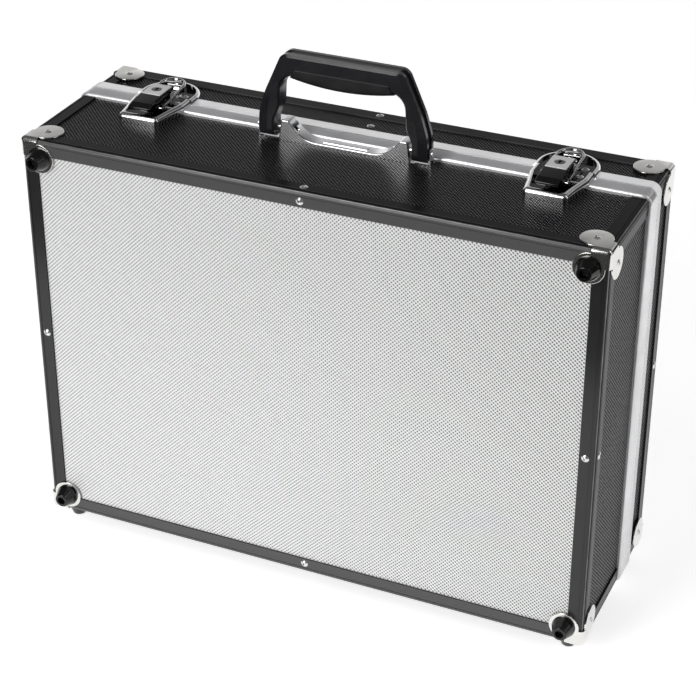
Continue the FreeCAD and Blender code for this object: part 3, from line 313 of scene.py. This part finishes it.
@dataclass(frozen=True)
class DrawnMetal:
    """Extruded, rolled or plated metal with faint drawing lines."""

    name: str
    colour: Colour
    metallic: float
    roughness: float
    grain: Grain = Grain.NONE
    lines: float = 0.03
    relief: float = 0.000004
    specular: float = 0.5
    crown_at: Optional[float] = None
    crown_slope: float = 0.0
    # Colour of a painted highlight along the case's outer edges.
    worn_tone_and_edge_highlight: Optional[Colour] = None
    matt_sides: Optional[float] = None
    # Lighter colour put on surfaces facing the front or the back, as painted light.
    painted_front_light: Optional[Colour] = None
    painted_shade_below: Optional[float] = None

    def make(self) -> bpy.types.Material:
        """Build the material.

        Returns:
            The material.
        """
        sketch = NodeSketch(f"{self.name}_{self.grain.name.lower()}")
        lines = sketch.noise(2600.0, 2.0, self.grain)
        cloud = sketch.noise(35.0, 3.0)
        dim = tuple(value * 0.84 for value in self.colour)
        colour = sketch.ramp(cloud, [(0.3, dim), (0.65, self.colour)])
        both = sketch.math("ADD", sketch.math("MULTIPLY", lines, 0.7), sketch.math("MULTIPLY", cloud, 0.3))
        roughness = sketch.spread(both, max(self.roughness - self.lines, 0.02), self.roughness + self.lines)
        normal = sketch.bump(lines, self.relief)
        sketch.set(Metallic=self.metallic, Specular_IOR_Level=self.specular)
        if self.crown_at is not None:
            normal = self.crowned(sketch, normal)
        # painted highlight: a light colour band along the case's rounded outer edges
        if self.worn_tone_and_edge_highlight is not None:
            wear_and_edge_highlight = self.painted_edge_highlight(sketch)
            colour = sketch.mixed(wear_and_edge_highlight, colour, self.worn_tone_and_edge_highlight)
            sketch.link(sketch.spread(wear_and_edge_highlight, self.metallic, 0.9), sketch.shader.inputs["Metallic"])
        if self.matt_sides is not None:
            shine = self.front_share(sketch, self.matt_sides, self.specular)
            sketch.link(shine, sketch.shader.inputs["Specular IOR Level"])
        # painted light: surfaces facing the front or the back take a lighter colour than tops and sides
        if self.painted_front_light is not None:
            colour = sketch.mixed(self.front_share(sketch, 0.0, 1.0), colour, self.painted_front_light)
        # painted shade: level surfaces below the pan rim, the latch pans' floors, are coloured near black
        if self.painted_shade_below is not None:
            colour = sketch.mixed(self.painted_shade_mask(sketch), colour, (0.02, 0.02, 0.02))
        return sketch.paint(colour, roughness, normal)

    def painted_edge_highlight(self, sketch: NodeSketch) -> bpy.types.NodeSocket:
        """How strongly the painted edge highlight shows, a light band along the case's outer edges.

        Args:
            sketch: The material that is being built.

        Returns:
            One on the round of an edge, zero on the faces.
        """
        split = sketch.tree.nodes.new("ShaderNodeSeparateXYZ")
        sketch.link(sketch.coordinates, split.inputs[0])
        gaps = []
        for axis, middle, half in zip("XYZ", CASE_MIDDLE, CASE_HALF):
            off = sketch.math("ABSOLUTE", sketch.math("SUBTRACT", split.outputs[axis], middle))
            gaps.append(sketch.math("SUBTRACT", half, off))
        first, second, third = gaps
        low = sketch.math("MINIMUM", first, second)
        high = sketch.math("MAXIMUM", first, second)
        between = sketch.math("MAXIMUM", low, sketch.math("MINIMUM", high, third))
        uneven = sketch.math("MULTIPLY", sketch.noise(90.0, 3.0), 0.5 * MM)
        depth = sketch.math("ADD", between, uneven)
        return sketch.math("SUBTRACT", 1.0, sketch.clamped(depth, 0.9 * MM, 1.7 * MM, 1.0))

    def front_share(self, sketch: NodeSketch, low: float, high: float) -> bpy.types.NodeSocket:
        """A value that is high on surfaces facing the front or the back and low on all others.

        Args:
            sketch: The material that is being built.
            low: The value on level and side-facing surfaces.
            high: The value on surfaces that face the front or the back.

        Returns:
            The value at each place.
        """
        facing = sketch.tree.nodes.new("ShaderNodeSeparateXYZ")
        sketch.link(sketch.normals, facing.inputs[0])
        along = sketch.math("ABSOLUTE", facing.outputs["Y"])
        return sketch.math("ADD", sketch.clamped(along, 0.6, 0.95, high - low), low)

    def painted_shade_mask(self, sketch: NodeSketch) -> bpy.types.NodeSocket:
        """One on level surfaces that lie below a height, where painted shade goes, zero elsewhere."""
        place = sketch.tree.nodes.new("ShaderNodeSeparateXYZ")
        sketch.link(sketch.coordinates, place.inputs[0])
        facing = sketch.tree.nodes.new("ShaderNodeSeparateXYZ")
        sketch.link(sketch.normals, facing.inputs[0])
        low = sketch.math("LESS_THAN", place.outputs["Z"], self.painted_shade_below)
        level = sketch.math("GREATER_THAN", facing.outputs["Z"], 0.9)
        return sketch.math("MULTIPLY", low, level)

    def crowned(self, sketch: NodeSketch, normal: bpy.types.NodeSocket) -> bpy.types.NodeSocket:
        """Slope the surface away on both sides of a line across the case's depth.

        Args:
            sketch: The material that is being built.
            normal: The normal so far.

        Returns:
            The new normal.
        """
        split = sketch.tree.nodes.new("ShaderNodeSeparateXYZ")
        sketch.link(sketch.coordinates, split.inputs[0])
        off = sketch.math("SUBTRACT", split.outputs["Y"], self.crown_at)
        away = sketch.math("SQRT", sketch.math("ADD", sketch.math("MULTIPLY", off, off), (2.5 * MM) ** 2))
        height = sketch.math("MULTIPLY", away, -self.crown_slope)
        return sketch.bump(height, 1.0, 1.0, normal)


@dataclass(frozen=True)
class MouldedPart:
    """Moulded plastic or rubber with a fine pebbled skin."""

    name: str
    colour: Colour
    worn_tone_and_edge_highlight: Colour
    roughness: float
    pebble: float
    relief: float
    specular: float = 0.5

    def make(self) -> bpy.types.Material:
        """Build the material.

        Returns:
            The material.
        """
        sketch = NodeSketch(self.name)
        cells = sketch.tree.nodes.new("ShaderNodeTexVoronoi")
        cells.inputs["Scale"].default_value = self.pebble
        sketch.link(sketch.coordinates, cells.inputs["Vector"])
        cloud = sketch.noise(60.0, 4.0)
        colour = sketch.ramp(cloud, [(0.35, self.colour), (0.75, self.worn_tone_and_edge_highlight)])
        roughness = sketch.spread(cloud, self.roughness - 0.08, self.roughness + 0.08)
        normal = sketch.bump(cells.outputs["Distance"], self.relief)
        sketch.set(Specular_IOR_Level=self.specular)
        return sketch.paint(colour, roughness, normal)


@dataclass(frozen=True)
class FoamSheet:
    """Open-celled foam."""

    name: str
    colour: Colour
    light: Colour

    def make(self) -> bpy.types.Material:
        """Build the material.

        Returns:
            The material.
        """
        sketch = NodeSketch(self.name)
        cells = sketch.noise(900.0, 4.0)
        cloud = sketch.noise(14.0, 2.0)
        mixed = sketch.math("ADD", sketch.math("MULTIPLY", cells, 0.7), sketch.math("MULTIPLY", cloud, 0.3))
        colour = sketch.ramp(mixed, [(0.35, self.colour), (0.65, self.light)])
        roughness = sketch.spread(cells, 0.85, 1.0)
        normal = sketch.bump(cells, 0.0006)
        sketch.set(Sheen_Weight=0.15)
        return sketch.paint(colour, roughness, normal)


SPLIT_Y = 29.1 * MM
CASE_MIDDLE = (0.0, 4.6 * MM, 176.5 * MM)
CASE_HALF = (227.5 * MM, 76.0 * MM, 165.0 * MM)
PAN_RIM = 345.8 * MM
# The sheets' valley colours are painted shade and their ridge colours are partly painted highlight.
SILVER_SHEET = EmbossedSheet("silver_sheet", (0.90, 0.90, 0.90), (0.03, 0.03, 0.03), 0.25, 0.42, Face.FRONT,
                             0.22, 0.18, -0.08, 0.5, 0.10, 0.56, 0.95)
BLACK_SHEETS = {
    face: EmbossedSheet("black_sheet", (0.080, 0.078, 0.083), (0.001, 0.001, 0.001), 0.0, 0.28, face,
                        *weights, 0.25, 0.60, 0.42, 0.93)
    for face, weights in ((Face.TOP, (0.16, 0.10)), (Face.SIDE, (0.15, 0.13)))
}
# The profiles carry painted light: a lighter colour on faces towards the front or the back, and a painted highlight
# along the case's outer edges.
PROFILES = {
    grain: DrawnMetal("black_profile", (0.013, 0.013, 0.0135), 0.0, 0.18, grain, 0.05, 0.000002, shine,
                      worn_tone_and_edge_highlight=(0.42, 0.42, 0.43), matt_sides=0.06, painted_front_light=front)
    for grain, shine, front in ((Grain.ALONG_X, 0.35, (0.085, 0.085, 0.087)),
                                (Grain.ALONG_Y, 0.42, (0.020, 0.020, 0.021)),
                                (Grain.ALONG_Z, 0.42, (0.020, 0.020, 0.021)))
}
FRAMES = {
    grain: DrawnMetal("silver_frame", (0.87, 0.87, 0.88), 0.55, 0.22, grain, 0.06, 0.000001, 0.5, SPLIT_Y, 0.17)
    for grain in (Grain.ALONG_X, Grain.ALONG_Z)
}
CHROME = DrawnMetal("chrome_plate", (0.86, 0.86, 0.87), 1.0, 0.08, Grain.NONE, 0.03, 0.000001)
# Latch chrome with painted shade on the pan floors below the rim.
PAN_CHROME = DrawnMetal("pan_chrome", (0.86, 0.86, 0.87), 1.0, 0.08, Grain.NONE, 0.03, 0.000001, painted_shade_below=PAN_RIM)
CAP_CHROME = DrawnMetal("cap_plate", (0.80, 0.79, 0.76), 1.0, 0.14, Grain.NONE, 0.04, 0.000001)
KEY_PLATE = DrawnMetal("key_plate", (0.84, 0.84, 0.84), 0.35, 0.30, Grain.NONE, 0.05, 0.000003)
STEEL = DrawnMetal("fastener_steel", (0.78, 0.78, 0.78), 0.85, 0.24, Grain.NONE, 0.05, 0.000001)
LOCK_STEEL = DrawnMetal("lock_steel", (0.14, 0.14, 0.14), 0.9, 0.22, Grain.NONE, 0.05, 0.000001)
# Near-black foot screws: painted shade in the holes of the feet.
SCREW_IN_PAINTED_SHADE = DrawnMetal("screw_in_painted_shade", (0.05, 0.05, 0.05), 0.8, 0.35, Grain.NONE, 0.05)
LEVER_BLACK = DrawnMetal("lever_black", (0.004, 0.004, 0.0045), 0.0, 0.07, Grain.NONE, 0.03, 0.000001)
HANDLE_PLASTIC = MouldedPart("handle_plastic", (0.011, 0.011, 0.013), (0.018, 0.018, 0.020), 0.20, 1500.0, 0.00001,
                             0.9)
PAD_RUBBER = MouldedPart("pad_rubber", (0.010, 0.010, 0.011), (0.016, 0.016, 0.018), 0.32, 1900.0, 0.00001, 0.7)
FOOT_RUBBER = MouldedPart("foot_rubber", (0.003, 0.003, 0.003), (0.008, 0.008, 0.008), 0.16, 2200.0, 0.000004)
LINING_FOAM = FoamSheet("lining_foam", (0.020, 0.020, 0.022), (0.055, 0.055, 0.058))


class Wardrobe:
    """Makes each finish once and puts it on CAD nodes and new pieces."""

    def __init__(self) -> None:
        """Start with no materials made."""
        self.made: dict[object, bpy.types.Material] = {}

    def material(self, finish: object) -> bpy.types.Material:
        """The finish's material, made on first use."""
        if finish not in self.made:
            self.made[finish] = finish.make()
        return self.made[finish]

    def dress(self, piece: bpy.types.Object, finish: object) -> None:
        """Put one finish on a whole piece."""
        piece.data.materials.clear()
        piece.data.materials.append(self.material(finish))

    def dress_nodes(self, names: Iterable[str], finish: object) -> None:
        """Put one finish on CAD nodes.

        Args:
            names: The nodes' names.
            finish: The finish.
        """
        for name in names:
            self.dress(frame["nodes"][name], finish)
            LOG.info("dressed %s", name)


WARDROBE = Wardrobe()


def body_of(node: str) -> str:
    """The body that a CAD node belongs to."""
    for body, members in frame["record"]["behaviour"]["bodies"].items():
        if node in members:
            return body
    raise KeyError(node)


def smoothed(node: str, angle: float = 32.0) -> bpy.types.Object:
    """A copy of a CAD node with its faces joined and its curved faces shaded smooth.

    Args:
        node: The node's name.
        angle: Edges that turn by more than this many degrees stay sharp.

    Returns:
        The piece that stands for the node.
    """
    source = frame["nodes"][node]
    mesh = bpy.data.meshes.new(node + "_skin")
    bm = bmesh.new()
    bm.from_mesh(source.data)
    bmesh.ops.remove_doubles(bm, verts=bm.verts, dist=1e-6)
    bmesh.ops.dissolve_limit(bm, angle_limit=math.radians(0.4), verts=bm.verts, edges=bm.edges)
    limit = math.radians(angle)
    for edge in bm.edges:
        edge.smooth = len(edge.link_faces) == 2 and edge.calc_face_angle(math.pi) < limit
    for face in bm.faces:
        face.smooth = True
    bm.to_mesh(mesh)
    bm.free()
    piece = bpy.data.objects.new(node + "_skin", mesh)
    bpy.context.scene.collection.objects.link(piece)
    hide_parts(node)
    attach(piece, body_of(node))
    return piece


class Panels:
    """Silver front and back panels and the black walls between them."""

    def dress(self) -> None:
        """Give every panel the diamond pattern in its own plane."""
        WARDROBE.dress_nodes(("tray_front_panel", "lid_back_panel"), SILVER_SHEET)
        for half in ("tray", "lid"):
            WARDROBE.dress_nodes((f"{half}_wall_top", f"{half}_wall_hinge_side"), BLACK_SHEETS[Face.TOP])
            WARDROBE.dress_nodes((f"{half}_wall_left", f"{half}_wall_right"), BLACK_SHEETS[Face.SIDE])


class EdgeProfiles:
    """Black profiles round the panels."""

    def dress(self) -> None:
        """Run each profile's drawing lines along its length."""
        for half in ("tray", "lid"):
            WARDROBE.dress_nodes((f"{half}_edge_top", f"{half}_edge_hinge_side"), PROFILES[Grain.ALONG_X])
            WARDROBE.dress_nodes((f"{half}_edge_left", f"{half}_edge_right"), PROFILES[Grain.ALONG_Z])
            WARDROBE.dress_nodes((f"{half}_corner_profiles",), PROFILES[Grain.ALONG_Y])


class ClosingFrames:
    """Silver frames where tray and lid meet."""

    def dress(self) -> None:
        """Give both frames a satin drawn finish."""
        WARDROBE.dress_nodes(("tray_frame", "lid_frame"), FRAMES[Grain.ALONG_X])


class Fittings:
    """Caps, rivets, feet, hinges and linings."""

    def dress(self) -> None:
        """Put metal, rubber and foam on the small parts."""
        for node in ("tray_corner_caps", "lid_corner_caps"):
            WARDROBE.dress(smoothed(node), CAP_CHROME)
        for node in ("tray_rivets", "lid_rivets", "latch_rivets", "strike_rivets", "hinge_rivets_tray",
                     "hinge_rivets_lid", "saddle_screws", "handle_pins",
                     "latch_lever_pins", "latch_bail_pin_left", "latch_bail_pin_right", "hinge_pins",
                     "hinge_leaves_tray", "hinge_leaves_lid"):
            WARDROBE.dress(smoothed(node), STEEL)
        # the foot screws are coloured near black as painted shade in the feet's holes
        for node in ("tray_foot_screws", "lid_foot_screws"):
            WARDROBE.dress(smoothed(node), SCREW_IN_PAINTED_SHADE)
        for node in ("tray_front_feet", "tray_standing_feet", "lid_standing_feet"):
            WARDROBE.dress(smoothed(node), FOOT_RUBBER)
        WARDROBE.dress_nodes(("tray_lining", "lid_lining"), LINING_FOAM)


class Handle:
    """Folding handle on its chrome saddle."""

    def dress(self) -> None:
        """Dress the bow, the pad and the saddle."""
        WARDROBE.dress(smoothed("handle_grip", 11.0), HANDLE_PLASTIC)
        WARDROBE.dress(smoothed("handle_pad", 12.0), PAD_RUBBER)
        WARDROBE.dress(smoothed("handle_saddle"), CHROME)


@dataclass
class Latch:
    """One draw latch."""

    side: str

    def dress(self) -> None:
        """Dress the latch's base, lever, bail, lock and strike."""
        WARDROBE.dress(smoothed("latch_base_" + self.side), PAN_CHROME)
        WARDROBE.dress(smoothed("latch_lever_" + self.side), LEVER_BLACK)
        WARDROBE.dress(smoothed("key_plate_" + self.side), KEY_PLATE)
        WARDROBE.dress(smoothed("latch_bail_" + self.side), CHROME)
        WARDROBE.dress(smoothed("lock_plug_" + self.side), LOCK_STEEL)
        WARDROBE.dress(smoothed("latch_strike_" + self.side), PAN_CHROME)


@dataclass
class Studio:
    """Pale floor, soft lamps and the camera."""

    floor_half_width: float = 12.0
    cloth_start: float = -0.46
    cloth_end: float = -2.8
    cloth_left_back: float = 1.0
    cloth_right_back: float = 6.0
    cloth_height: float = 2.4
    cloth_half_width: float = 2.9
    camera_place: tuple[float, float, float] = (0.53816, -1.19859, 0.94306)
    camera_azimuth: float = 23.956
    camera_elevation: float = 30.260
    focal_length: float = 102.12

    def build(self) -> None:
        """Make the floor, the lamps, the world and the camera."""
        self.floor()
        self.dark_cloth()
        self.world()
        self.lamp("front_lamp", (-0.95, -2.35, 1.15), (0.0, 0.0, 0.3), (1.1, 2.0), 32.0)
        self.lamp("key_lamp", (-0.92, -1.31, 2.36), (0.0, 0.0, 0.3), (0.8, 0.8), 6.0)
        self.lamp("side_lamp", (2.3, -0.2, 0.9), (0.0, 0.0, 0.2), (1.2, 1.2), 4.0)
        self.lamp("top_lamp", (1.45, -0.35, 2.0), (0.0, 0.0, 0.3), (0.6, 0.6), 3.0)
        self.camera()

    def floor(self) -> None:
        """Make the floor, a large sheet that shows white with the object's shadow."""
        mesh = bpy.data.meshes.new("studio_floor")
        bm = bmesh.new()
        bmesh.ops.create_grid(bm, x_segments=1, y_segments=1, size=self.floor_half_width)
        bm.to_mesh(mesh)
        bm.free()
        floor = bpy.data.objects.new("studio_floor", mesh)
        bpy.context.scene.collection.objects.link(floor)
        material = bpy.data.materials.new("studio_paper")
        material.use_nodes = True
        tree = material.node_tree
        tree.nodes.clear()
        diffuse = tree.nodes.new("ShaderNodeBsdfDiffuse")
        diffuse.inputs["Color"].default_value = (0.88, 0.88, 0.88, 1.0)
        lift = tree.nodes.new("ShaderNodeEmission")
        lift.inputs["Color"].default_value = (1.0, 1.0, 1.0, 1.0)
        path = tree.nodes.new("ShaderNodeLightPath")
        seen = tree.nodes.new("ShaderNodeMath")
        seen.operation = "MAXIMUM"
        tree.links.new(path.outputs["Is Camera Ray"], seen.inputs[0])
        tree.links.new(path.outputs["Is Glossy Ray"], seen.inputs[1])
        share = tree.nodes.new("ShaderNodeMath")
        share.operation = "MULTIPLY"
        share.inputs[1].default_value = 0.66
        tree.links.new(seen.outputs[0], share.inputs[0])
        tree.links.new(share.outputs[0], lift.inputs["Strength"])
        add = tree.nodes.new("ShaderNodeAddShader")
        tree.links.new(diffuse.outputs[0], add.inputs[0])
        tree.links.new(lift.outputs[0], add.inputs[1])
        output = tree.nodes.new("ShaderNodeOutputMaterial")
        tree.links.new(add.outputs[0], output.inputs["Surface"])
        mesh.materials.append(material)

    def dark_cloth(self) -> None:
        """Lay a dark cloth before the floor and hang it round three sides, seen in polished surfaces only."""
        mesh = bpy.data.meshes.new("studio_cloth")
        bm = bmesh.new()
        side = self.cloth_half_width
        low = 0.002
        ground = ((-side, self.cloth_start), (side, self.cloth_start), (side, self.cloth_end), (-side, self.cloth_end))
        bm.faces.new([bm.verts.new((x, y, low)) for x, y in ground])
        walls = ((-side, self.cloth_left_back), (-side, self.cloth_end), (side, self.cloth_end),
                 (side, self.cloth_right_back))
        for (x0, y0), (x1, y1) in zip(walls, walls[1:]):
            corners = ((x0, y0, low), (x1, y1, low), (x1, y1, self.cloth_height), (x0, y0, self.cloth_height))
            bm.faces.new([bm.verts.new(corner) for corner in corners])
        bm.to_mesh(mesh)
        bm.free()
        cloth = bpy.data.objects.new("studio_cloth", mesh)
        bpy.context.scene.collection.objects.link(cloth)
        material = bpy.data.materials.new("studio_dark_cloth")
        material.use_nodes = True
        shader = material.node_tree.nodes["Principled BSDF"]
        shader.inputs["Base Color"].default_value = (0.04, 0.04, 0.04, 1.0)
        shader.inputs["Roughness"].default_value = 1.0
        mesh.materials.append(material)
        cloth.visible_camera = False
        cloth.visible_diffuse = False
        cloth.visible_shadow = False

    def world(self) -> None:
        """Make a world that is white near the horizon and greyer overhead."""
        world = bpy.data.worlds.new("studio_world")
        bpy.context.scene.world = world
        world.use_nodes = True
        tree = world.node_tree
        tree.nodes.clear()
        where = tree.nodes.new("ShaderNodeTexCoord")
        split = tree.nodes.new("ShaderNodeSeparateXYZ")
        ramp = tree.nodes.new("ShaderNodeValToRGB")
        ramp.color_ramp.elements[0].position = 0.20
        ramp.color_ramp.elements[0].color = (1.0, 1.0, 1.0, 1.0)
        ramp.color_ramp.elements[1].position = 0.40
        ramp.color_ramp.elements[1].color = (0.52, 0.52, 0.525, 1.0)
        overhead = ramp.color_ramp.elements.new(0.68)
        overhead.color = (0.10, 0.10, 0.105, 1.0)
        background = tree.nodes.new("ShaderNodeBackground")
        output = tree.nodes.new("ShaderNodeOutputWorld")
        tree.links.new(where.outputs["Generated"], split.inputs[0])
        tree.links.new(split.outputs["Z"], ramp.inputs["Fac"])
        tree.links.new(ramp.outputs["Color"], background.inputs["Color"])
        tree.links.new(background.outputs[0], output.inputs["Surface"])

    def lamp(self, name: str, place: Colour, target: Colour, size: tuple[float, float], power: float) -> None:
        """Hang a soft rectangular lamp.

        Args:
            name: The lamp's name.
            place: Where it hangs, in metres.
            target: The point that it faces.
            size: Its width and height.
            power: Its power in watts.
        """
        light = bpy.data.lights.new(name, "AREA")
        light.shape = "RECTANGLE"
        light.size, light.size_y = size
        light.energy = power
        lamp = bpy.data.objects.new(name, light)
        lamp.location = place
        lamp.rotation_euler = (Vector(target) - Vector(place)).to_track_quat("-Z", "Y").to_euler()
        bpy.context.scene.collection.objects.link(lamp)

    def camera(self) -> None:
        """Set the camera where the photograph was taken from."""
        data = bpy.data.cameras.new("camera")
        data.lens = self.focal_length
        data.sensor_width = 36.0
        data.clip_end = 60.0
        camera = bpy.data.objects.new("camera", data)
        turn = math.radians(self.camera_azimuth)
        tilt = math.radians(self.camera_elevation)
        ahead = Vector((-math.sin(turn) * math.cos(tilt), math.cos(turn) * math.cos(tilt), -math.sin(tilt)))
        camera.location = self.camera_place
        camera.rotation_euler = ahead.to_track_quat("-Z", "Y").to_euler()
        bpy.context.scene.collection.objects.link(camera)
        bpy.context.scene.camera = camera


def main() -> None:
    """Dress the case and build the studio."""
    logging.basicConfig(level=logging.INFO, format="%(message)s")
    Panels().dress()
    EdgeProfiles().dress()
    ClosingFrames().dress()
    Fittings().dress()
    Handle().dress()
    Latch("left").dress()
    Latch("right").dress()
    Studio().build()
    bpy.context.scene.view_settings.view_transform = "Standard"


if __name__ == "__main__":
    main()
